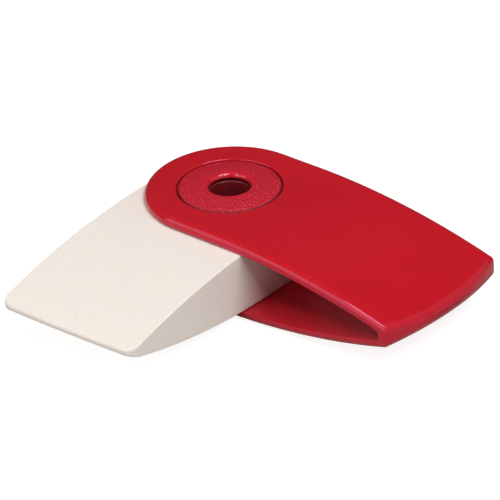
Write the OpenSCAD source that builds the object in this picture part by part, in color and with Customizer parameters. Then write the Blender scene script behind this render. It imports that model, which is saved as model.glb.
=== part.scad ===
// Pocket eraser in a swivel sleeve.
// A wedge of white vinyl turns about a hollow two-piece rivet, between the two plates of a moulded sleeve.
// The origin is on the pivot axis, midway through the thickness. +X runs to the sleeve's closed end
// and +Z is up along the pivot. Sizes are in millimetres and angles in degrees.

/* [Sleeve] */
// Width of the sleeve and diameter of its round end
sleeve_w = 25; // [22:0.5:28]
// From the pivot axis to the closed end
sleeve_reach = 41; // [36:0.1:45]
// Thickness over the flat faces at the pivot
sleeve_t = 12.8; // [12:0.2:15.4]
// Thickness of the closed end at its edge
nose_t = 2.4; // [2.3:0.1:3.2]
// Distance past the pivot axis where the faces start to curve together
crown_start = 6.5; // [2:0.5:10]
// How far each side spreads from the round end to the closed end
nose_flare = 0.15; // [0:0.05:0.5]
// Radius of the closed end, seen from above
nose_arc_r = 39; // [30:1:80]
// Radius of the corners of the closed end, seen from above
nose_corner_r = 0.3; // [0.2:0.1:4]
// Wall of each plate along its open sides
plate_wall = 1.45; // [1.3:0.05:1.6]
// Wall of the closed end on the centre line
nose_wall = 1.3; // [0.9:0.1:1.8]
// Rounding inside the closed end
cavity_r = 0.7; // [0.3:0.1:0.8]
// Rounding of the outer edges along the sides and the round end
sleeve_edge_r = 1.1; // [0.5:0.05:1.2]
// Rounding of the outer edges along the closed end
nose_edge_r = 1.1; // [0.5:0.05:1.15]

/* [Eraser] */
// Angle from the sleeve's centre line to the eraser: 0 is shut
swing = -90; // [-180:5:180]
// How far the round end of the eraser stays inside the round end of the sleeve
eraser_inset = 0.3; // [0.1:0.1:1.5]
// How far the sides of the tip stay inside the sides of the sleeve
tip_inset = 0; // [0:0.1:1]
// Running gap between the eraser and each plate
face_gap = 0.2; // [0.1:0.05:0.35]
// Gap between the swinging tip and the closed end
tip_gap = 0.9; // [0.3:0.05:1.5]
// How much lower each face is at the tip than the slot lets it be
tip_thin = 0.15; // [0:0.05:0.3]
// Radius of the tip, seen from above
tip_arc_r = 300; // [100:10:600]
// Radius of the corners of the tip, seen from above
tip_corner_r = 1.9; // [1:0.1:4]
// Rounding of the long edges
eraser_edge_r = 0.35; // [0.2:0.05:0.6]
// Height of the flat left on the thin edge at the tip
tip_land = 0.15; // [0.05:0.05:0.4]

/* [Pivot] */
// Radius of the hole through the pivot
hole_r = 3.1; // [2.4:0.05:3.2]
// Outer radius of the hub that the eraser turns on
hub_r = 4.6; // [4.5:0.1:5.4]
// Wall of the post inside the hub
post_wall = 0.75; // [0.6:0.05:0.85]
// Outer radius of the two rings
ring_r = 7.6; // [7:0.05:9]
// Depth of a ring's seat in the plate
ring_rim = 0.8; // [0.75:0.05:0.9]
// How far the upper ring's crest stands above the plate
ring_proud = 0.25; // [0.1:0.05:0.5]
// How far the upper ring falls from its crest to its rim
ring_fall = 0.45; // [0.2:0.05:0.5]
// How far the lower ring's crest stays inside the plate, so that the part lies on the plate
base_sunk = 0.1; // [0.05:0.05:0.15]
// How far the lower ring falls from its crest to its rim
base_fall = 0.2; // [0.1:0.05:0.3]
// Rounding of a ring's outer rim
ring_edge_r = 0.25; // [0.1:0.05:0.35]
// Rounding of a ring's edge into the hole
lip_r = 0.6; // [0.4:0.05:0.6]
// Thickness of the upper ring's lip over the end of the post
lip_t = 0.75; // [0.65:0.05:0.9]
// Gap round a ring in its seat
seat_gap = 0.25; // [0.05:0.05:0.4]
// Radial running clearance of the hub in the eraser and the plates
hub_gap = 0.08; // [0.04:0.01:0.1]
// Clearance of the post in the hub, and of the hub's end over the lower ring
post_gap = 0.04; // [0.02:0.01:0.08]
// Gap between the end of the post and the upper ring's lip
post_end_gap = 0.5; // [0.2:0.05:0.8]
// Height of the snap bead on the post
bead_h = 0.15; // [0.1:0.05:0.2]

/* [Hidden] */
$fn = 96;
red = [0.76, 0.10, 0.15];
ring_red = [0.73, 0.15, 0.21];
vinyl_white = [0.93, 0.91, 0.87];

// Steps that draw the round end, the crowned sides, a corner, the end arc and a rounded edge
end_steps = 18;
side_steps = 14;
corner_steps = 7;
arc_steps = 8;
edge_steps = 7;
cavity_steps = 22;
// Overshoot of a cut past the face that it opens
cut = 1;

half_w = sleeve_w / 2;
half_t = sleeve_t / 2;
nose_half_w = half_w + nose_flare;
crown_span = sleeve_reach - crown_start;
crown_drop = half_t - nose_t / 2;
crown_r = (pow(crown_span, 2) + pow(crown_drop, 2)) / (2 * crown_drop);

// The swinging tip's furthest corner clears the closed end by the tip gap, which sets the eraser's length.
cavity_reach = sleeve_reach - nose_wall;
swing_r = cavity_reach - tip_gap;
eraser_half_w = half_w - tip_inset;
tip_corner_x = sqrt(pow(swing_r - tip_corner_r, 2) - pow(eraser_half_w - tip_corner_r, 2));
tip_arc_centre_x = tip_corner_x - sqrt(pow(tip_arc_r - tip_corner_r, 2) - pow(eraser_half_w - tip_corner_r, 2));
eraser_reach = tip_arc_centre_x + tip_arc_r;
tip_edge_r = eraser_half(eraser_reach) - tip_land / 2;

seat_z = half_t - ring_rim;
plate_z = half_t - plate_wall;
hub_hole_r = hub_r + hub_gap;
post_r = hole_r + post_wall;
socket_r = post_r + post_gap;
crest_r = hole_r + lip_r;
lip_z = half_t + ring_proud - lip_t;
post_end_z = lip_z - post_end_gap;

// Half of the sleeve's thickness at a distance along its centre line
function face_half(x) = half_t - (x <= crown_start ? 0 : crown_r - sqrt(pow(crown_r, 2) - pow(x - crown_start, 2)));

// Half of the eraser's thickness at a distance along its own centre line: the slot's curve, thinned toward the tip
function eraser_half(x) =
    let (t = max(0, x - crown_start) / (eraser_reach - crown_start))
    face_half(x) - plate_wall - face_gap - tip_thin * pow(t, 3);

// Half of the cavity's height at a distance from the pivot axis. The eraser's sides swing across the middle of
// the plates, so the cavity is turned about the pivot and is as high there as at the open sides.
function cavity_half(r) = face_half(sqrt(max(0, pow(r, 2) - pow(half_w, 2)))) - plate_wall;

function mix(a, b, t) = a + (b - a) * t;

// Columns along an arc: its centre and radius, the angle of the outward normal, the rounding of the edge, and the angle
// and stretch of the mitre that the columns run down together where the edge is rounded past the centre
function arc(centre_x, centre_y, r, from, to, steps, edge_from, edge_to) = [
    for (i = [0:steps])
        [
            centre_x, centre_y, r, mix(from, to, i / steps), mix(edge_from, edge_to, i / steps),
            (from + to) / 2, 1 / cos((to - from) / 2)
        ]
];

// The +Y half of a tongue seen from above, from its round end about the origin to the middle of its far end:
// a half circle, a side, a rounded corner and a shallow arc, each tangent to the next
function tongue(end_r, far_half_w, reach, arc_r, corner_r, edge_r, far_edge_r) =
    let (
        centre_x = reach - arc_r,
        corner_y = far_half_w - corner_r,
        corner_x = centre_x + sqrt(pow(arc_r - corner_r, 2) - pow(corner_y, 2)),
        side_a = atan2(corner_y, corner_x) + acos((end_r - corner_r) / norm([corner_x, corner_y])),
        arc_a = atan2(corner_y, corner_x - centre_x),
        round_end = arc(0, 0, end_r, 180, side_a, end_steps, edge_r, edge_r),
        corner = arc(corner_x, corner_y, corner_r, side_a, arc_a, corner_steps, edge_r, far_edge_r),
        far_end = arc(centre_x, 0, arc_r, arc_a, 0, arc_steps, far_edge_r, far_edge_r),
        side_end = corner_x * sin(side_a) - corner_y * cos(side_a),
        side = [
            for (i = [0:side_steps - 1])
                let (run = mix(crown_start, side_end, i / side_steps))
                [run * sin(side_a), -run * cos(side_a), end_r, side_a, edge_r, side_a, 1]
        ]
    )
    concat(round_end, side, corner, [for (i = [1:arc_steps]) far_end[i]]);

// The whole outline: the +Y half, then its mirror image back to the start
function whole(half) = concat(
    half,
    [
        for (i = [len(half) - 2:-1:1])
            let (c = half[i])
            [c[0], -c[1], c[2], -c[3], c[4], -c[5], c[6]]
    ]
);

// One point of a column's rounded edge: 0 degrees is on the side wall and 90 on the face
function edge_point(c, a, up, half_height) =
    let (
        inset = c[4] * (1 - cos(a)),
        out = max(0, c[2] - inset),
        mitre = max(0, inset - c[2]) * c[6],
        x = c[0] + out * cos(c[3]) - mitre * cos(c[5]),
        y = c[1] + out * sin(c[3]) - mitre * sin(c[5])
    )
    [x, y, up * (half_height(x) - c[4] * (1 - sin(a)))];

// A slab with a tongue's outline, faces that follow half_height along X, and rounded edges
module crowned_tongue(half_outline, half_height) {
    outline = whole(half_outline);
    n = len(outline);
    m = len(half_outline) - 1;
    levels = concat(
        [for (k = [edge_steps:-1:0]) [90 * k / edge_steps, -1]],
        [for (k = [0:edge_steps]) [90 * k / edge_steps, 1]]
    );
    top = n * (len(levels) - 1);
    points = [for (level = levels) for (c = outline) edge_point(c, level[0], level[1], half_height)];
    walls = [
        for (k = [0:len(levels) - 2], i = [0:n - 1], upper = [0, 1])
            let (a = k * n + i, b = k * n + (i + 1) % n)
            upper ? [a, b + n, a + n] : [a, b, b + n]
    ];
    // Strips across the face, from each point to its mirror image
    strips = concat(
        [[0, 1, n - 1], [m - 1, m, m + 1]],
        [for (j = [1:m - 2], upper = [0, 1]) upper ? [j, n - j - 1, n - j] : [j, j + 1, n - j - 1]]
    );
    faces = concat(
        walls,
        [for (f = strips) [top + f[0], top + f[1], top + f[2]]],
        [for (f = strips) [f[2], f[1], f[0]]]
    );
    polyhedron(points, faces, convexity = 4);
}

// The space that the eraser swings through, with a rounded end
module cavity() {
    end_z = cavity_half(cavity_reach - cavity_r) - cavity_r;
    turn = [
        for (i = [0:cavity_steps])
            let (r = mix(crown_start, cavity_reach - cavity_r, i / cavity_steps))
            [r, cavity_half(r)]
    ];
    nose = [for (a = [75:-15:0]) [cavity_reach - cavity_r * (1 - cos(a)), end_z + cavity_r * sin(a)]];
    upper = concat([[0, plate_z]], turn, nose);
    lower = [for (i = [len(upper) - 1:-1:0]) [upper[i][0], -upper[i][1]]];
    rotate_extrude() polygon(concat(upper, lower));
}

// The stepped hole in a plate that a ring sits in
module ring_seat() {
    translate([0, 0, seat_z]) cylinder(r = ring_r + seat_gap, h = ring_rim + cut);
    translate([0, 0, plate_z - cut]) cylinder(r = hub_hole_r, h = plate_wall + 2 * cut);
}

module sleeve() {
    color(red) difference() {
        crowned_tongue(
            tongue(half_w, nose_half_w, sleeve_reach, nose_arc_r, nose_corner_r, sleeve_edge_r, nose_edge_r),
            function (x) face_half(x)
        );
        cavity();
        ring_seat();
        mirror([0, 0, 1]) ring_seat();
    }
}

module eraser() {
    color(vinyl_white) rotate([0, 0, swing]) difference() {
        crowned_tongue(
            tongue(
                half_w - eraser_inset, eraser_half_w, eraser_reach, tip_arc_r, tip_corner_r,
                eraser_edge_r, tip_edge_r
            ),
            function (x) eraser_half(x)
        );
        cylinder(r = hub_hole_r, h = sleeve_t, center = true);
    }
}

// Section of a ring from the hole to its rim: a shallow dome that rolls over a rounded lip into the hole and over
// a rounded rim to its seat, with its crest at a height above the plate and its rim a fall below the crest
module ring_section(crest, fall) {
    crest_z = half_t + crest;
    run = ring_r - crest_r;
    dome_r = (pow(run, 2) + pow(fall, 2)) / (2 * fall);
    dome_z = crest_z - dome_r;
    // The rim's circle touches the dome from inside, and the side of the ring
    rim_run = run - ring_edge_r;
    rim_z = dome_z + sqrt(pow(dome_r - ring_edge_r, 2) - pow(rim_run, 2));
    touch_run = rim_run * dome_r / (dome_r - ring_edge_r);
    translate([hole_r, seat_z]) square([lip_r, crest_z - lip_r - seat_z]);
    intersection() {
        translate([crest_r, crest_z - lip_r]) circle(lip_r);
        translate([hole_r, crest_z - lip_r]) square(lip_r);
    }
    intersection() {
        translate([crest_r, dome_z]) circle(dome_r);
        translate([crest_r, seat_z]) square([touch_run, crest_z - seat_z]);
    }
    intersection() {
        translate([crest_r + rim_run, rim_z]) circle(ring_edge_r);
        translate([crest_r + touch_run, rim_z]) square(ring_edge_r);
    }
    translate([crest_r, seat_z]) square([run, rim_z - seat_z]);
}

// Upper half of the rivet: a ring with the hub below it, bored as a socket for the post
module pivot_cap() {
    color(ring_red) rotate_extrude() difference() {
        union() {
            ring_section(ring_proud, ring_fall);
            translate([hole_r, post_gap - seat_z]) square([hub_r - hole_r, 2 * seat_z - post_gap]);
        }
        translate([0, -seat_z]) square([socket_r, seat_z + lip_z]);
        translate([socket_r, 0]) circle(bead_h + post_gap);
    }
}

// Lower half of the rivet: a ring with the hollow post above it, which snaps into the hub on its bead
module pivot_post() {
    color(ring_red) rotate_extrude() union() {
        mirror([0, 1]) ring_section(-base_sunk, base_fall);
        translate([hole_r, -seat_z]) square([post_wall, post_end_z + seat_z]);
        translate([post_r, 0]) circle(bead_h);
    }
}

sleeve();
eraser();
pivot_cap();
pivot_post();
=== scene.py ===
import math
from collections import namedtuple
import bpy
import bmesh
from mathutils import Matrix, Vector


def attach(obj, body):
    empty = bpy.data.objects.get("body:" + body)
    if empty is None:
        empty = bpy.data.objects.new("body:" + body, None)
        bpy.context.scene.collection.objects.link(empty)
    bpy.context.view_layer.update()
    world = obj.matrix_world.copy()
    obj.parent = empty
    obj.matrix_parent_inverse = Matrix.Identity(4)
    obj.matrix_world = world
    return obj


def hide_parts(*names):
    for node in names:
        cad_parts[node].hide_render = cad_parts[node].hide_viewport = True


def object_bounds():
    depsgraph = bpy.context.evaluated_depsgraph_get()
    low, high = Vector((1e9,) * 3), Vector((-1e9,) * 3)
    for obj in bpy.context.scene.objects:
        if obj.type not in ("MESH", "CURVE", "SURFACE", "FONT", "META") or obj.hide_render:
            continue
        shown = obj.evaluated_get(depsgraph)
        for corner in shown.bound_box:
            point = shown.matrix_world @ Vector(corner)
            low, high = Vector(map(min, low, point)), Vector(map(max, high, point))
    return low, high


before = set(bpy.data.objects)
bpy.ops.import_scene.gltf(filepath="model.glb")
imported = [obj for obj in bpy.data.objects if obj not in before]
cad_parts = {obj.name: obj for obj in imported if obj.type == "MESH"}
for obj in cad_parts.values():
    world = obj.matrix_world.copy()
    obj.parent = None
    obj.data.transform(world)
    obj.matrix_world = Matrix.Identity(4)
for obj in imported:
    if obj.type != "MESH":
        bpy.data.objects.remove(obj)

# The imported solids' box is kept first: the dressed eraser has to stay inside it.
cad_box = [[float(value) for value in corner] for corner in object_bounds()]


# SLEEVE
# One glossy red injection moulding. Two crowned plates run together in a closed nose and stay open along
# both sides and round the pivot. Each plate has a shallow round seat for a ring of the rivet, and a hole
# for its hub.
mm = 0.001  # sizes of the pieces are in millimetres, and become metres as each vertex is made
sleeve_half_w = 12.5
sleeve_half_t = 6.4
sleeve_reach = 41.0
nose_half_w = 12.65
nose_half_t = 1.2
nose_arc_r = 39.0
nose_corner_r = 0.3
crown_start = 6.5
plate_wall = 1.45
cavity_reach = 39.7
cavity_r = 0.7
side_edge_r = 1.1
nose_edge_r = 1.1
inner_edge_r = 0.08
inner_edge_fade = 1.6
seat_r = 7.85
seat_z = 5.6
seat_rim_r = 0.26
hub_hole_r = 4.68

sleeve_red = (0.515, 0.0085, 0.0165)
sleeve_red_light = (0.545, 0.0098, 0.0190)
sleeve_red_worn = (0.62, 0.045, 0.07)
# Painted light: the seat and the slot get a lighter, bluer red, more of it deeper into the slot.
sleeve_red_painted_inside_light = (0.58, 0.0090, 0.0220)
sleeve_red_dusty = (0.54, 0.014, 0.028)
sleeve_roughness = (0.05, 0.08)
sleeve_roughness_inside = 0.12

crown_drop = sleeve_half_t - nose_half_t
crown_r = ((sleeve_reach - crown_start) ** 2 + crown_drop ** 2) / (2 * crown_drop)


def mix(a, b, t):
    """A value part of the way from a to b."""
    return a + (b - a) * t


def face_half(x):
    """Half of the sleeve's thickness at a distance along it: flat by the pivot, then crowned."""
    run = max(0.0, x - crown_start)
    return sleeve_half_t - (crown_r - math.sqrt(crown_r ** 2 - run ** 2))


def cavity_half(r):
    """Half of the slot's height at a distance from the pivot, with a rounded end at the nose."""
    bend = min(r, cavity_reach - cavity_r)
    height = face_half(math.sqrt(max(0.0, bend ** 2 - sleeve_half_w ** 2))) - plate_wall
    past = max(0.0, r - bend)
    return height - cavity_r + math.sqrt(max(0.0, cavity_r ** 2 - past ** 2))


# A column stands on the outline, seen from above: the centre and radius of its arc, the angle of its
# outward normal, the rounding of its edge, and the mitre that it runs down where the edge is rounded
# past the centre.
Column = namedtuple("Column", "x y r angle edge_r mitre_angle stretch")


def arc_columns(centre_x, centre_y, r, start, end, steps, edge_start, edge_end):
    """Columns along an arc of the outline, from one angle and rounding to another."""
    mitre_angle = (start + end) / 2
    stretch = 1 / math.cos((end - start) / 2)
    columns = []
    for i in range(steps + 1):
        angle = mix(start, end, i / steps)
        edge_r = mix(edge_start, edge_end, i / steps)
        columns.append(Column(centre_x, centre_y, r, angle, edge_r, mitre_angle, stretch))
    return columns


def inset_point(column, inset):
    """A column's place at an inset from the outline, seen from above."""
    out = max(0.0, column.r - inset)
    mitre = max(0.0, inset - column.r) * column.stretch
    x = column.x + out * math.cos(column.angle) - mitre * math.cos(column.mitre_angle)
    y = column.y + out * math.sin(column.angle) - mitre * math.sin(column.mitre_angle)
    return x, y


def tongue_columns(end_r, far_half_w, reach, arc_r, corner_r, edge_r, far_edge_r, side_runs):
    """A tongue seen from above as one closed loop: round about the pivot, a shallow arc at its far end."""
    end_steps, corner_steps, arc_steps = 56, 16, 20
    first_run, least_gap, mitre_gap = 0.2, 0.02, 0.03
    centre_x = reach - arc_r
    corner_y = far_half_w - corner_r
    corner_x = centre_x + math.sqrt((arc_r - corner_r) ** 2 - corner_y ** 2)
    corner_out = math.hypot(corner_x, corner_y)
    side_angle = math.atan2(corner_y, corner_x) + math.acos((end_r - corner_r) / corner_out)
    arc_angle = math.atan2(corner_y, corner_x - centre_x)
    round_end = arc_columns(0, 0, end_r, math.pi, side_angle, end_steps, edge_r, edge_r)
    corner = arc_columns(
        corner_x, corner_y, corner_r, side_angle, arc_angle, corner_steps, edge_r, far_edge_r
    )
    far_end = arc_columns(centre_x, 0, arc_r, arc_angle, 0, arc_steps, far_edge_r, far_edge_r)
    # The side's columns stop short of the corner's mitre.
    mitred = max(least_gap, (edge_r - corner_r) * math.tan((side_angle - arc_angle) / 2) + mitre_gap)
    side_end = corner_x * math.sin(side_angle) - corner_y * math.cos(side_angle) - mitred
    side = []
    for run in (*side_runs, side_end):
        if first_run < run <= side_end:
            x, y = run * math.sin(side_angle), -run * math.cos(side_angle)
            side.append(Column(x, y, end_r, side_angle, edge_r, side_angle, 1.0))
    half = round_end + side + corner + far_end[1:]
    mirrored = []
    for column in half[-2:0:-1]:
        mirrored.append(column._replace(y=-column.y, angle=-column.angle, mitre_angle=-column.mitre_angle))
    return half + mirrored


def edge_rows(column, half_height, steps):
    """A rounded edge at one column, from the face down to the side wall, with how exposed each row is."""
    r = column.edge_r
    rows = []
    for i in range(steps + 1):
        slope = math.pi / 2 * (1 - i / steps)
        x, y = inset_point(column, r * (1 - math.cos(slope)))
        rows.append((x, y, half_height(x) - r * (1 - math.sin(slope)), math.sin(2 * slope)))
    return rows


class Skin:
    """A mesh sewn from rings of points. Each point is x, y, z in millimetres and how exposed it is to wear.
    A whole ring can lie inside the part, where painted light and dust gather, or on a place that the mould
    polished."""

    def __init__(self):
        self.mesh = bmesh.new()
        self.worn = self.mesh.verts.layers.float.new("worn")
        self.inside = self.mesh.verts.layers.float.new("inside")
        self.polished = self.mesh.verts.layers.float.new("polished")

    def ring(self, points, inside=0.0, polished=0.0):
        """Makes one ring of vertices."""
        ring = []
        for x, y, z, worn in points:
            vert = self.mesh.verts.new((x * mm, y * mm, z * mm))
            vert[self.worn] = worn
            vert[self.inside] = inside
            vert[self.polished] = polished
            ring.append(vert)
        return ring

    def sew(self, rings, columns=None):
        """Joins each ring to the next, all the way round or only at some columns."""
        for a, b in zip(rings, rings[1:]):
            for i in range(len(a)) if columns is None else columns:
                j = (i + 1) % len(a)
                self.mesh.faces.new((a[i], a[j], b[j], b[i]))

    def sew_rows(self, columns, up, shelter):
        """Sews rings through rows of points, or through their mirror image below; gives back the rings."""
        rings = []
        for row, inside in enumerate(shelter):
            points = []
            for column in columns:
                x, y, z, worn = column[row]
                points.append((x, y, up * z, worn))
            rings.append(self.ring(points, inside))
        self.sew(rings)
        return rings

    def piece(self, name, material, sharp_deg):
        """Closes the mesh into a smooth object that stays sharp at edges past an angle."""
        same_place = 3e-7
        bmesh.ops.remove_doubles(self.mesh, verts=self.mesh.verts, dist=same_place)
        bmesh.ops.recalc_face_normals(self.mesh, faces=self.mesh.faces)
        data = bpy.data.meshes.new(name)
        self.mesh.to_mesh(data)
        self.mesh.free()
        data.polygons.foreach_set("use_smooth", [True] * len(data.polygons))
        data.set_sharp_from_angle(angle=math.radians(sharp_deg))
        data.materials.append(material)
        piece = bpy.data.objects.new(name, data)
        bpy.context.scene.collection.objects.link(piece)
        return piece


def node_group(name, inputs, outputs):
    """An empty shader node group with named float sockets, and its input and output nodes."""
    group = bpy.data.node_groups.new(name, "ShaderNodeTree")
    for label, default in inputs:
        socket = group.interface.new_socket(name=label, in_out="INPUT", socket_type="NodeSocketFloat")
        socket.default_value = default
    for label in outputs:
        group.interface.new_socket(name=label, in_out="OUTPUT", socket_type="NodeSocketFloat")
    return group, group.nodes.new("NodeGroupInput"), group.nodes.new("NodeGroupOutput")


def math_node(tree, operation, a, b=0.0, clamp=False):
    """A math node on two links or numbers; gives back its output."""
    node = tree.nodes.new("ShaderNodeMath")
    node.operation = operation
    node.use_clamp = clamp
    for socket, value in zip(node.inputs, (a, b)):
        if isinstance(value, (int, float)):
            socket.default_value = value
        else:
            tree.links.new(value, socket)
    return node.outputs[0]


def map_node(tree, value, low, high, to_low=0.0, to_high=1.0):
    """A smooth step from low to high; gives back its output."""
    node = tree.nodes.new("ShaderNodeMapRange")
    node.interpolation_type = "SMOOTHSTEP"
    tree.links.new(value, node.inputs["Value"])
    for label, number in zip(("From Min", "From Max", "To Min", "To Max"), (low, high, to_low, to_high)):
        node.inputs[label].default_value = number
    return node.outputs["Result"]


def noise_node(tree, vector, scale, detail, roughness=0.5):
    """A noise texture whose scale is a number or a link; gives back its value."""
    node = tree.nodes.new("ShaderNodeTexNoise")
    node.inputs["Detail"].default_value = detail
    node.inputs["Roughness"].default_value = roughness
    tree.links.new(vector, node.inputs["Vector"])
    if isinstance(scale, (int, float)):
        node.inputs["Scale"].default_value = scale
    else:
        tree.links.new(scale, node.inputs["Scale"])
    return node.outputs["Fac"]


# Mould texture: the grain that a mould leaves, as a height, and a slow cloud for drift in colour and gloss.
mould_texture, texture_in, texture_out = node_group(
    "mould_texture", [("Grain per mm", 4.0), ("Cloud per mm", 0.15)], ["Height", "Cloud"]
)
place = mould_texture.nodes.new("ShaderNodeTexCoord").outputs["Object"]
grain_scale = math_node(mould_texture, "MULTIPLY", texture_in.outputs["Grain per mm"], 1 / mm)
cloud_scale = math_node(mould_texture, "MULTIPLY", texture_in.outputs["Cloud per mm"], 1 / mm)
grain = noise_node(mould_texture, place, grain_scale, detail=3.0, roughness=0.55)
mould_texture.links.new(grain, texture_out.inputs["Height"])
mould_cloud = noise_node(mould_texture, place, cloud_scale, detail=2.0)
mould_texture.links.new(mould_cloud, texture_out.inputs["Cloud"])
cloud_span = (0.3, 0.7)

# Handling marks: hairlines from pockets and desks, in two directions, and specks of dust.
handling_marks, marks_in, marks_out = node_group(
    "handling_marks", [("Hairlines", 0.5), ("Specks", 0.5)], ["Scratch", "Speck"]
)
hairline_scale = 120.0
hairline_scale_up = 400.0
hairline_span = (0.66, 0.74)
speck_scale = 2600.0
speck_span = (0.74, 0.8)
place = handling_marks.nodes.new("ShaderNodeTexCoord").outputs["Object"]
hairlines = []
for turn, stretch in ((0.35, 26.0), (-1.1, 19.0)):
    along = handling_marks.nodes.new("ShaderNodeMapping")
    along.inputs["Rotation"].default_value = (0.0, 0.0, turn)
    along.inputs["Scale"].default_value = (hairline_scale, hairline_scale * stretch, hairline_scale_up)
    handling_marks.links.new(place, along.inputs["Vector"])
    streaks = noise_node(handling_marks, along.outputs["Vector"], scale=1.0, detail=2.0)
    hairlines.append(map_node(handling_marks, streaks, *hairline_span))
hairline = math_node(handling_marks, "MAXIMUM", hairlines[0], hairlines[1])
scratch = math_node(handling_marks, "MULTIPLY", hairline, marks_in.outputs["Hairlines"])
handling_marks.links.new(scratch, marks_out.inputs["Scratch"])
speck = map_node(handling_marks, noise_node(handling_marks, place, speck_scale, detail=1.0), *speck_span)
speck = math_node(handling_marks, "MULTIPLY", speck, marks_in.outputs["Specks"])
handling_marks.links.new(speck, marks_out.inputs["Speck"])

# Edge wear: where the mesh says that an edge is exposed, broken up so that it is not an even line.
edge_wear, wear_in, wear_out = node_group("edge_wear", [("Amount", 0.5), ("Breakup per mm", 0.8)], ["Mask"])
breakup_span = (0.35, 0.7)
place = edge_wear.nodes.new("ShaderNodeTexCoord").outputs["Object"]
exposed = edge_wear.nodes.new("ShaderNodeAttribute")
exposed.attribute_name = "worn"
breakup_scale = math_node(edge_wear, "MULTIPLY", wear_in.outputs["Breakup per mm"], 1 / mm)
breakup = noise_node(edge_wear, place, breakup_scale, detail=4.0, roughness=0.6)
breakup = map_node(edge_wear, breakup, *breakup_span)
worn_edge = math_node(edge_wear, "MULTIPLY", exposed.outputs["Fac"], breakup)
worn_edge = math_node(edge_wear, "MULTIPLY", worn_edge, wear_in.outputs["Amount"])
edge_wear.links.new(worn_edge, wear_out.inputs["Mask"])

# Painted light in recesses, and dust: where the mesh says that a face lies inside the part, the rivet is
# painted with shade and the sleeve with a lighter, bluer red, and drifts of dust lie there.
painted_recess_light_and_dust, dust_in, dust_out = node_group(
    "painted_recess_light_and_dust", [("Drifts per mm", 0.5)], ["Shelter", "Dust"]
)
drift_span = (0.45, 0.75)
place = painted_recess_light_and_dust.nodes.new("ShaderNodeTexCoord").outputs["Object"]
sheltered = painted_recess_light_and_dust.nodes.new("ShaderNodeAttribute")
sheltered.attribute_name = "inside"
drift_scale = math_node(painted_recess_light_and_dust, "MULTIPLY", dust_in.outputs["Drifts per mm"], 1 / mm)
drift = noise_node(painted_recess_light_and_dust, place, drift_scale, detail=4.0, roughness=0.6)
drift = map_node(painted_recess_light_and_dust, drift, *drift_span)
drift = math_node(painted_recess_light_and_dust, "MULTIPLY", sheltered.outputs["Fac"], drift)
painted_recess_light_and_dust.links.new(sheltered.outputs["Fac"], dust_out.inputs["Shelter"])
painted_recess_light_and_dust.links.new(drift, dust_out.inputs["Dust"])


def new_material(name):
    """A node material with its shader, and a function that places a group in it with its own values."""
    material = bpy.data.materials.new(name)
    material.use_nodes = True
    tree = material.node_tree

    def place_group(group, **values):
        node = tree.nodes.new("ShaderNodeGroup")
        node.node_tree = group
        for label, value in values.items():
            node.inputs[label.replace("_", " ")].default_value = value
        return node.outputs

    return material, tree, tree.nodes["Principled BSDF"], place_group


def blend_colours(tree, factor, first, second):
    """A mix of two colours, each a link or an RGB triple, by a factor; gives back its output."""
    node = tree.nodes.new("ShaderNodeMix")
    node.data_type = "RGBA"
    tree.links.new(factor, node.inputs[0])
    for socket, colour in zip((node.inputs[6], node.inputs[7]), (first, second)):
        if isinstance(colour, tuple):
            socket.default_value = (*colour, 1.0)
        else:
            tree.links.new(colour, socket)
    return node.outputs[2]


def add_bump(tree, shader, height, strength, distance_mm):
    """A bump from a height to the shader's normal, with a strength that is a number or a link."""
    bump = tree.nodes.new("ShaderNodeBump")
    if isinstance(strength, float):
        bump.inputs["Strength"].default_value = strength
    else:
        tree.links.new(strength, bump.inputs["Strength"])
    bump.inputs["Distance"].default_value = distance_mm * mm
    tree.links.new(height, bump.inputs["Height"])
    tree.links.new(bump.outputs["Normal"], shader.inputs["Normal"])


sleeve_plastic, tree, shader, place_group = new_material("sleeve_plastic")
texture = place_group(mould_texture, Grain_per_mm=1.1, Cloud_per_mm=0.06)
marks = place_group(handling_marks, Hairlines=0.06, Specks=0.1)
wear = place_group(edge_wear, Amount=0.15, Breakup_per_mm=0.7)
recess_light_and_dust = place_group(painted_recess_light_and_dust, Drifts_per_mm=0.4)
red = blend_colours(tree, map_node(tree, texture["Cloud"], *cloud_span), sleeve_red, sleeve_red_light)
red = blend_colours(tree, wear["Mask"], red, sleeve_red_worn)
# Painted light inside: the seat and the slot turn a lighter, bluer red, more so deeper into the slot.
red = blend_colours(tree, recess_light_and_dust["Shelter"], red, sleeve_red_painted_inside_light)
red = blend_colours(tree, recess_light_and_dust["Dust"], red, sleeve_red_dusty)
tree.links.new(red, shader.inputs["Base Color"])
gloss = map_node(tree, texture["Cloud"], *cloud_span, *sleeve_roughness)
gloss = math_node(tree, "ADD", gloss, marks["Scratch"])
gloss = math_node(tree, "ADD", gloss, math_node(tree, "MULTIPLY", recess_light_and_dust["Shelter"], sleeve_roughness_inside))
tree.links.new(math_node(tree, "ADD", gloss, marks["Speck"], clamp=True), shader.inputs["Roughness"])
shader.inputs["IOR"].default_value = 1.53
shader.inputs["Specular Tint"].default_value = (0.80, 0.62, 1.0, 1.0)
add_bump(tree, shader, texture["Height"], strength=0.03, distance_mm=0.05)

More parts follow.
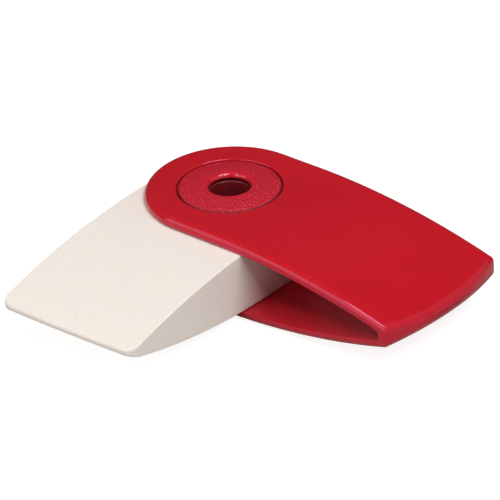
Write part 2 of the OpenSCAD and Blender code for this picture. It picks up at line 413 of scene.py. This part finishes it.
# Columns stand close together where the sides of the slot meet the closed nose, at the crossing run.
column_step = 0.7
sleeve_side_columns = 51
slot_end_steps = 12
touching = 1e-6
crossing_run = math.sqrt(cavity_reach ** 2 - sleeve_half_w ** 2)
side_runs = [column_step * i for i in range(1, sleeve_side_columns + 1)]
for i in range(slot_end_steps + 1):
    slot_r = cavity_reach - cavity_r * (1 - math.sin(math.pi / 2 * i / slot_end_steps))
    side_runs.append(math.sqrt(slot_r ** 2 - sleeve_half_w ** 2))
side_runs.sort()
sleeve_columns = tongue_columns(
    sleeve_half_w, nose_half_w, sleeve_reach, nose_arc_r, nose_corner_r, side_edge_r, nose_edge_r, side_runs
)
slot_end_z = cavity_half(cavity_reach)
plate_z = sleeve_half_t - plate_wall
nose_columns = [math.hypot(*inset_point(c, 0)) > cavity_reach - touching for c in sleeve_columns]

seat_rim_steps = 8
sleeve_edge_steps = 12
inner_edge_steps = 6
inner_edge_wear = 0.6
face_steps = [i / 22 for i in range(1, 22)] + [0.975, 0.992]
slot_insets = [0.0, 0.02, 0.07, 0.14, 0.23, 0.34, 0.47, 0.6]
slot_steps = 18


def plate_rows(column, nose):
    """One column of a plate, from its hub hole through the seat, over face and edge, to its inner rim."""
    x, y = inset_point(column, 0)
    out = math.hypot(x, y)
    way_x, way_y = x / out, y / out
    rows = []
    for r, z in ((hub_hole_r, plate_z), (hub_hole_r, seat_z), (seat_r, seat_z)):
        rows.append((r * way_x, r * way_y, z, 0.0))
    for i in range(seat_rim_steps + 1):
        slope = math.pi / 2 * i / seat_rim_steps
        r = seat_r + seat_rim_r * (1 - math.cos(slope))
        drop = seat_rim_r * (1 - math.sin(slope))
        rows.append((r * way_x, r * way_y, face_half(r * way_x) - drop, math.sin(2 * slope)))
    rim_x, rim_y = rows[-1][:2]
    over_edge = edge_rows(column, face_half, sleeve_edge_steps)
    edge_x, edge_y = over_edge[0][:2]
    for t in face_steps:
        at_x, at_y = mix(rim_x, edge_x, t), mix(rim_y, edge_y, t)
        rows.append((at_x, at_y, face_half(at_x), 0.0))
    rows += over_edge
    # The inner rim is softly broken along the open sides, and fades out where the plates join the nose.
    fade = min(1.0, max(0.0, (crossing_run - x) / inner_edge_fade))
    r = 0.0 if nose else inner_edge_r * fade
    rim_z = slot_end_z if nose else cavity_half(math.hypot(*inset_point(column, r)))
    for i in range(inner_edge_steps + 1):
        slope = math.pi / 2 * i / inner_edge_steps
        at_x, at_y = inset_point(column, r * (1 - math.cos(slope)))
        rows.append((at_x, at_y, rim_z + r * (1 - math.sin(slope)), inner_edge_wear * fade))
    return rows


def slot_rows(column, nose, rim):
    """One column of the slot's face, from the plate's inner rim, or the end of the slot, to the hub hole."""
    x, y = inset_point(column, 0)
    out = math.hypot(x, y)
    hub_x, hub_y = hub_hole_r * x / out, hub_hole_r * y / out
    start_x, start_y = (cavity_reach * x / out, cavity_reach * y / out) if nose else rim[:2]
    run = math.hypot(start_x - hub_x, start_y - hub_y)
    near_rim = [inset / run for inset in slot_insets]
    inward = [mix(near_rim[-1], 1.0, i / slot_steps) for i in range(1, slot_steps + 1)]
    rows = []
    for t in near_rim + inward:
        at_x, at_y = mix(start_x, hub_x, t), mix(start_y, hub_y, t)
        rows.append((at_x, at_y, cavity_half(math.hypot(at_x, at_y)), 0.0))
    return rows


# Painted light and dust lie in the seat, which is a plate's first rows, and deepen row by row into the slot.
seat_row_count = 3
slot_shade = 0.25
plates = [plate_rows(c, nose) for c, nose in zip(sleeve_columns, nose_columns)]
slots = [slot_rows(c, nose, plate[-1]) for c, nose, plate in zip(sleeve_columns, nose_columns, plates)]
plate_shelter = [float(row < seat_row_count) for row in range(len(plates[0]))]
slot_shelter = [min(1.0, slot_shade * row) for row in range(len(slots[0]))]
sleeve_skin = Skin()
outer_rims, slot_rims = [], []
for up in (1, -1):
    outer_rims.append(sleeve_skin.sew_rows(plates, up, plate_shelter)[-1])
    slot_rims.append(sleeve_skin.sew_rows(slots, up, slot_shelter)[0])

# The plates are joined by the nose's outer wall and by the end of the slot, and stay apart elsewhere.
joined = []
for i, nose in enumerate(nose_columns):
    if nose and nose_columns[(i + 1) % len(nose_columns)]:
        joined.append(i)
for (upper, lower), inside in ((outer_rims, 0.0), (slot_rims, 1.0)):
    between = []
    for t in (0.25, 0.5, 0.75):
        row = []
        for a, b in zip(upper, lower):
            row.append((a.co.x / mm, a.co.y / mm, mix(a.co.z, b.co.z, t) / mm, 0.0))
        between.append(sleeve_skin.ring(row, inside))
    sleeve_skin.sew([upper, *between, lower], joined)
loose = [v for v in sleeve_skin.mesh.verts if not v.link_faces]
bmesh.ops.delete(sleeve_skin.mesh, geom=loose, context="VERTS")
sleeve = sleeve_skin.piece("sleeve_moulding", sleeve_plastic, sharp_deg=18)
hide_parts("sleeve")
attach(sleeve, "sleeve_body")


# ERASER
# A wedge of off-white vinyl, cast in a mould with rounded edges and bored for the rivet's hub. It is a
# little wider at its thin tip than at its round end. It rubs on the plates by the pivot, and clears them
# at its tip.
eraser_end_r = 12.2
eraser_tip_half_w = 12.5
tip_arc_r = 300.0
tip_corner_r = 1.9
tip_clearance = 0.9
running_gap = 0.2
rub_gap = 0.08
tip_thin = 0.15
tip_flat_half = 0.075
eraser_edge_r = 0.2
bore_edge_r = 0.2

vinyl_white = (0.825, 0.755, 0.690)
vinyl_white_light = (0.880, 0.806, 0.737)
vinyl_rubbed = (0.83, 0.73, 0.64)
vinyl_speck = (0.70, 0.64, 0.57)
vinyl_roughness = (0.55, 0.68)
fleck_span = (0.35, 0.65)

tip_corner_y = eraser_tip_half_w - tip_corner_r
tip_corner_x = math.sqrt((cavity_reach - tip_clearance - tip_corner_r) ** 2 - tip_corner_y ** 2)
tip_arc_x = tip_corner_x - math.sqrt((tip_arc_r - tip_corner_r) ** 2 - tip_corner_y ** 2)
eraser_reach = tip_arc_x + tip_arc_r


def eraser_half(x):
    """Half of the eraser's thickness at a distance along it: the slot's curve, thinned toward the tip."""
    t = max(0.0, x - crown_start) / (eraser_reach - crown_start)
    return face_half(x) - plate_wall - mix(rub_gap, running_gap, t) - tip_thin * t ** 3


tip_edge_r = eraser_half(eraser_reach) - tip_flat_half

eraser_vinyl, tree, shader, place_group = new_material("eraser_vinyl")
texture = place_group(mould_texture, Grain_per_mm=4.0, Cloud_per_mm=0.35)
marks = place_group(handling_marks, Hairlines=0.3, Specks=0.6)
wear = place_group(edge_wear, Amount=0.55, Breakup_per_mm=0.5)
fleck = map_node(tree, texture["Height"], *fleck_span)
white = blend_colours(tree, fleck, vinyl_white, vinyl_white_light)
white = blend_colours(tree, wear["Mask"], white, vinyl_rubbed)
white = blend_colours(tree, marks["Speck"], white, vinyl_speck)
tree.links.new(white, shader.inputs["Base Color"])
tree.links.new(map_node(tree, texture["Cloud"], *cloud_span, *vinyl_roughness), shader.inputs["Roughness"])
shader.inputs["Specular IOR Level"].default_value = 0.35
shader.inputs["Subsurface Weight"].default_value = 0.12
shader.inputs["Subsurface Radius"].default_value = (1.0, 0.75, 0.55)
shader.inputs["Subsurface Scale"].default_value = 0.6 * mm
add_bump(tree, shader, texture["Height"], strength=0.35, distance_mm=0.03)

eraser_side_columns = 53
eraser_columns = tongue_columns(
    eraser_end_r, eraser_tip_half_w, eraser_reach, tip_arc_r, tip_corner_r, eraser_edge_r, tip_edge_r,
    [column_step * i for i in range(1, eraser_side_columns + 1)]
)
bore_steps = (0.0, 0.5)
bore_edge_steps = 4
eraser_face_steps = [i / 30 for i in range(1, 30)] + [0.985]
eraser_edge_steps = 8
wall_steps = (0.8, 0.6, 0.4, 0.2, 0.0)


def eraser_rows(column):
    """One column of the eraser's upper half, from inside the bore over the face and down the side."""
    x, y = inset_point(column, 0)
    out = math.hypot(x, y)
    way_x, way_y = x / out, y / out
    face_z = eraser_half(0)
    rows = [(hub_hole_r * way_x, hub_hole_r * way_y, face_z * t, 0.0) for t in bore_steps]
    for i in range(bore_edge_steps + 1):
        slope = math.pi / 2 * i / bore_edge_steps
        r = hub_hole_r + bore_edge_r * (1 - math.cos(slope))
        rows.append((r * way_x, r * way_y, face_z - bore_edge_r * (1 - math.sin(slope)), 0.0))
    rim_x, rim_y = rows[-1][:2]
    over_edge = edge_rows(column, eraser_half, eraser_edge_steps)
    edge_x, edge_y = over_edge[0][:2]
    for t in eraser_face_steps:
        at_x, at_y = mix(rim_x, edge_x, t), mix(rim_y, edge_y, t)
        rows.append((at_x, at_y, eraser_half(at_x), 0.0))
    rows += over_edge
    wall_z = over_edge[-1][2]
    rows += [(x, y, wall_z * t, 0.0) for t in wall_steps]
    return rows


# The eraser is swung out to the near side at rest, so its own length lies along -Y.
swung_out = []
for column in eraser_columns:
    swung_out.append([(y, -x, z, worn) for x, y, z, worn in eraser_rows(column)])
eraser_skin = Skin()
for up in (1, -1):
    eraser_skin.sew_rows(swung_out, up, [0.0] * len(swung_out[0]))
eraser = eraser_skin.piece("eraser_wedge", eraser_vinyl, sharp_deg=40)
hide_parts("eraser")
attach(eraser, "eraser_body")


# RIVET POST
# The lower half of the hollow rivet, moulded in the same red with a fine spark texture. Its ring sits in the
# lower plate, and its thin-walled post goes up inside the hub and snaps in on a bead.
hole_r = 3.1
post_r = 3.85
ring_r = 7.6
ring_edge_r = 0.1
lip_r = 0.6
post_end_z = 5.4
post_edge_r = 0.15
bead_r = 0.15
base_crest = 6.3
base_fall = 0.2

ring_red = (0.55, 0.0095, 0.0230)
# Painted glints: a pinker red for flecks on the peaks of the grain.
ring_red_painted_glint = (0.65, 0.025, 0.050)
ring_red_worn = (0.66, 0.09, 0.13)
# Painted shade: a dark red inside the hole and in the groove round the ring.
ring_red_painted_shade = (0.16, 0.006, 0.009)
ring_red_dusty = (0.14, 0.014, 0.016)
ring_roughness = (0.24, 0.11)
ring_roughness_inside = 0.35
polished_roughness = 0.05
painted_glint_span = (0.45, 0.68)
matte_span = (0.4, 0.65)

ring_plastic, tree, shader, place_group = new_material("ring_plastic")
texture = place_group(mould_texture, Grain_per_mm=4.0, Cloud_per_mm=0.3)
marks = place_group(handling_marks, Hairlines=0.02, Specks=0.1)
wear = place_group(edge_wear, Amount=0.3, Breakup_per_mm=1.5)
recess_light_and_dust = place_group(painted_recess_light_and_dust, Drifts_per_mm=0.7)
polish = tree.nodes.new("ShaderNodeAttribute")
polish.attribute_name = "polished"
sparked = math_node(tree, "SUBTRACT", 1.0, polish.outputs["Fac"])
# Painted glints: the grain's peaks turn a pinker red.
painted_glint = map_node(tree, texture["Height"], *painted_glint_span)
red = blend_colours(tree, painted_glint, ring_red, ring_red_painted_glint)
red = blend_colours(tree, wear["Mask"], red, ring_red_worn)
# Painted shade inside the hole and in the groove round the ring, with drifts of dust in it.
red = blend_colours(tree, recess_light_and_dust["Shelter"], red, ring_red_painted_shade)
red = blend_colours(tree, recess_light_and_dust["Dust"], red, ring_red_dusty)
tree.links.new(red, shader.inputs["Base Color"])
matte = map_node(tree, texture["Height"], *matte_span, *ring_roughness)
matte = math_node(tree, "MULTIPLY", matte, sparked)
matte = math_node(tree, "ADD", matte, math_node(tree, "MULTIPLY", recess_light_and_dust["Shelter"], ring_roughness_inside))
matte = math_node(tree, "ADD", matte, marks["Scratch"])
matte = math_node(tree, "ADD", matte, marks["Speck"])
tree.links.new(math_node(tree, "ADD", matte, polished_roughness, clamp=True), shader.inputs["Roughness"])
shader.inputs["Specular IOR Level"].default_value = 0.6
add_bump(tree, shader, texture["Height"], strength=sparked, distance_mm=0.2)


def arc_points(centre_r, centre_z, r, start_deg, end_deg, steps):
    """Points of a turned section along an arc, in degrees."""
    points = []
    for i in range(steps + 1):
        angle = math.radians(mix(start_deg, end_deg, i / steps))
        points.append((centre_r + r * math.cos(angle), centre_z + r * math.sin(angle)))
    return points


def ring_section(crest_z, fall):
    """A ring's section from under its rim, over the dome and the rounded lip, to the wall of the hole."""
    rim_steps, dome_steps, lip_steps = 8, 20, 10
    crest_r = hole_r + lip_r
    run = ring_r - crest_r
    dome_r = (run ** 2 + fall ** 2) / (2 * fall)
    dome_z = crest_z - dome_r
    rim_run = run - ring_edge_r
    rim_z = dome_z + math.sqrt((dome_r - ring_edge_r) ** 2 - rim_run ** 2)
    touch_deg = math.degrees(math.atan2(rim_z - dome_z, rim_run))
    points = [(ring_r, seat_z), (ring_r, mix(seat_z, rim_z, 0.5))]
    points += arc_points(crest_r + rim_run, rim_z, ring_edge_r, 0, touch_deg, rim_steps)
    points += arc_points(crest_r, dome_z, dome_r, touch_deg, 90, dome_steps)[1:]
    points += arc_points(crest_r, crest_z - lip_r, lip_r, 90, 180, lip_steps)[1:]
    return points


def turned_piece(name, section, material):
    """A closed section turned once round the pivot axis. The mould polished the lip, and left the ring's
    face rough. Painted shade and dust lie inside the hole and in the groove round the ring."""
    turns = 192
    groove_w, groove_fade, groove_shade_and_dust = 0.25, 0.15, 0.8
    hole_shade_and_dust_rise = 0.2
    polish_fade = 0.35
    skin = Skin()
    rings = []
    for r, z in section:
        ring = []
        for i in range(turns):
            angle = 2 * math.pi * i / turns
            ring.append((r * math.cos(angle), r * math.sin(angle), z, 0.0))
        # Painted shade and dust: in the groove round the ring, and in the hole below the seat.
        groove = min(1.0, max(0.0, (r - ring_r + groove_w) / groove_fade))
        inside = max(groove_shade_and_dust * groove, float(abs(z) < seat_z + hole_shade_and_dust_rise))
        polished = min(1.0, max(0.0, (hole_r + lip_r + polish_fade - r) / polish_fade))
        rings.append(skin.ring(ring, inside, polished))
    skin.sew([*rings, rings[0]])
    return skin.piece(name, material, sharp_deg=32)


hole_wall_z = (-4.0, -2.0, 0.0, 2.0, 4.0)
post_edge_z = post_end_z - post_edge_r
post_edge_steps = 4
bead_steps = 8
post_section = [(r, -z) for r, z in ring_section(base_crest, base_fall)]
post_section += [(hole_r, z) for z in hole_wall_z]
post_section += arc_points(hole_r + post_edge_r, post_edge_z, post_edge_r, 180, 90, post_edge_steps)
post_section += arc_points(post_r - post_edge_r, post_edge_z, post_edge_r, 90, 0, post_edge_steps)
post_section += arc_points(post_r, 0.0, bead_r, 90, -90, bead_steps)
post_section += [(post_r, -seat_z)]
rivet_post = turned_piece("rivet_post", post_section, ring_plastic)
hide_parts("pivot_post")
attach(rivet_post, "sleeve_body")


# RIVET CAP
# The upper half of the rivet, in the same plastic: a domed, spark-textured ring that stands a little proud
# of the plate and rolls over a smooth lip into the hole. Its hub runs through the eraser and takes the post.
cap_crest = 6.65
cap_fall = 0.45
hub_r = 4.6
socket_r = 3.89
hub_end_z = -5.56
lip_under_z = 5.9
lip_chamfer = 0.05
bead_groove_r = 0.19

hub_wall_z = (hub_end_z, -2.0, 2.0, seat_z)
cap_section = [(hub_r, z) for z in hub_wall_z]
cap_section += ring_section(cap_crest, cap_fall)
cap_section += [(hole_r, lip_under_z + lip_chamfer), (hole_r + lip_chamfer, lip_under_z)]
cap_section += [(socket_r, lip_under_z)]
cap_section += arc_points(socket_r, 0.0, bead_groove_r, 90, -90, bead_steps)
cap_section += [(socket_r, hub_end_z)]
rivet_cap = turned_piece("rivet_cap", cap_section, ring_plastic)
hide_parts("pivot_cap")
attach(rivet_cap, "sleeve_body")


# STAGE
# A plain pale floor under the sleeve's flat face, soft studio lights, and a long lens from the photograph's
# side. The floor and the lights are sized in metres.
floor_half = 0.6
floor_drop = 0.02 * mm
floor_grey = (0.44, 0.43, 0.42)
floor_grey_light = (0.47, 0.46, 0.45)
floor_glow = (0.86, 0.86, 0.86, 1.0)

floor_z = cad_box[0][2] - floor_drop
floor_data = bpy.data.meshes.new("floor")
corners = [(-1, -1), (1, -1), (1, 1), (-1, 1)]
floor_data.from_pydata([(a * floor_half, b * floor_half, floor_z) for a, b in corners], [], [(0, 1, 2, 3)])
floor = bpy.data.objects.new("floor", floor_data)
bpy.context.scene.collection.objects.link(floor)
floor_paint, tree, shader, place_group = new_material("floor_paint")
texture = place_group(mould_texture, Grain_per_mm=0.5, Cloud_per_mm=0.004)
pale = blend_colours(tree, texture["Cloud"], floor_grey, floor_grey_light)
tree.links.new(pale, shader.inputs["Base Color"])
shader.inputs["Roughness"].default_value = 0.8
shader.inputs["Specular IOR Level"].default_value = 0.2
shader.inputs["Emission Color"].default_value = floor_glow
seen_by = tree.nodes.new("ShaderNodeLightPath")
tree.links.new(seen_by.outputs["Is Camera Ray"], shader.inputs["Emission Strength"])
floor_data.materials.append(floor_paint)

world = bpy.data.worlds.new("studio")
world.use_nodes = True
world.node_tree.nodes["Background"].inputs["Color"].default_value = (1.0, 1.0, 1.0, 1.0)
world.node_tree.nodes["Background"].inputs["Strength"].default_value = 0.06
bpy.context.scene.world = world

light_distance = 0.8


def soft_box(name, direction, width, height, watts):
    """A rectangular soft light that looks at the eraser from a direction."""
    data = bpy.data.lights.new(name, "AREA")
    data.shape = "RECTANGLE"
    data.size = width
    data.size_y = height
    data.energy = watts
    light = bpy.data.objects.new(name, data)
    way = Vector(direction).normalized()
    light.location = way * light_distance
    light.rotation_euler = way.to_track_quat("Z", "Y").to_euler()
    bpy.context.scene.collection.objects.link(light)


# The main light and the kicker are small, and draw the glints on the lip and by the nose.
# The others are wide, and fill the faces and the shadows.
soft_box("main", (0.62, -0.38, 0.70), 0.15, 0.08, 0.9)
soft_box("overhead", (0.42, -0.05, 0.9), 0.5, 0.36, 3.75)
soft_box("side", (0.9, -0.12, 0.4), 0.45, 0.7, 0.55)
soft_box("far_side", (0.8, 0.35, 0.4), 1.3, 0.9, 1.0)
soft_box("kicker", (-0.12, -0.5, 0.86), 0.18, 0.035, 0.9)
soft_box("front", (-0.3, -0.82, 0.42), 1.0, 0.6, 2.75)

camera_distance = 1060.643
camera_aside = 2.697
camera_raise = -3.868
azimuth, elevation, roll = (math.radians(degrees) for degrees in (41.0757, 30.1447, -2.914))
back = Vector((
    math.sin(azimuth) * math.cos(elevation), -math.cos(azimuth) * math.cos(elevation), math.sin(elevation)
))
level = Vector((math.cos(azimuth), math.sin(azimuth), 0.0))
upright = back.cross(level)
camera_right = math.cos(roll) * level + math.sin(roll) * upright
camera_up = math.cos(roll) * upright - math.sin(roll) * level
eye = back * camera_distance + camera_right * camera_aside + camera_up * camera_raise
camera_turn = Matrix((camera_right, camera_up, back)).transposed().to_4x4()
camera_data = bpy.data.cameras.new("camera")
camera_data.sensor_width = 36.0
camera_data.lens = 521.822
camera_data.clip_start = 0.05
camera_data.clip_end = 10.0
camera = bpy.data.objects.new("camera", camera_data)
camera.matrix_world = Matrix.Translation(eye * mm) @ camera_turn
bpy.context.scene.collection.objects.link(camera)
bpy.context.scene.camera = camera
bpy.context.scene.view_settings.view_transform = "Standard"
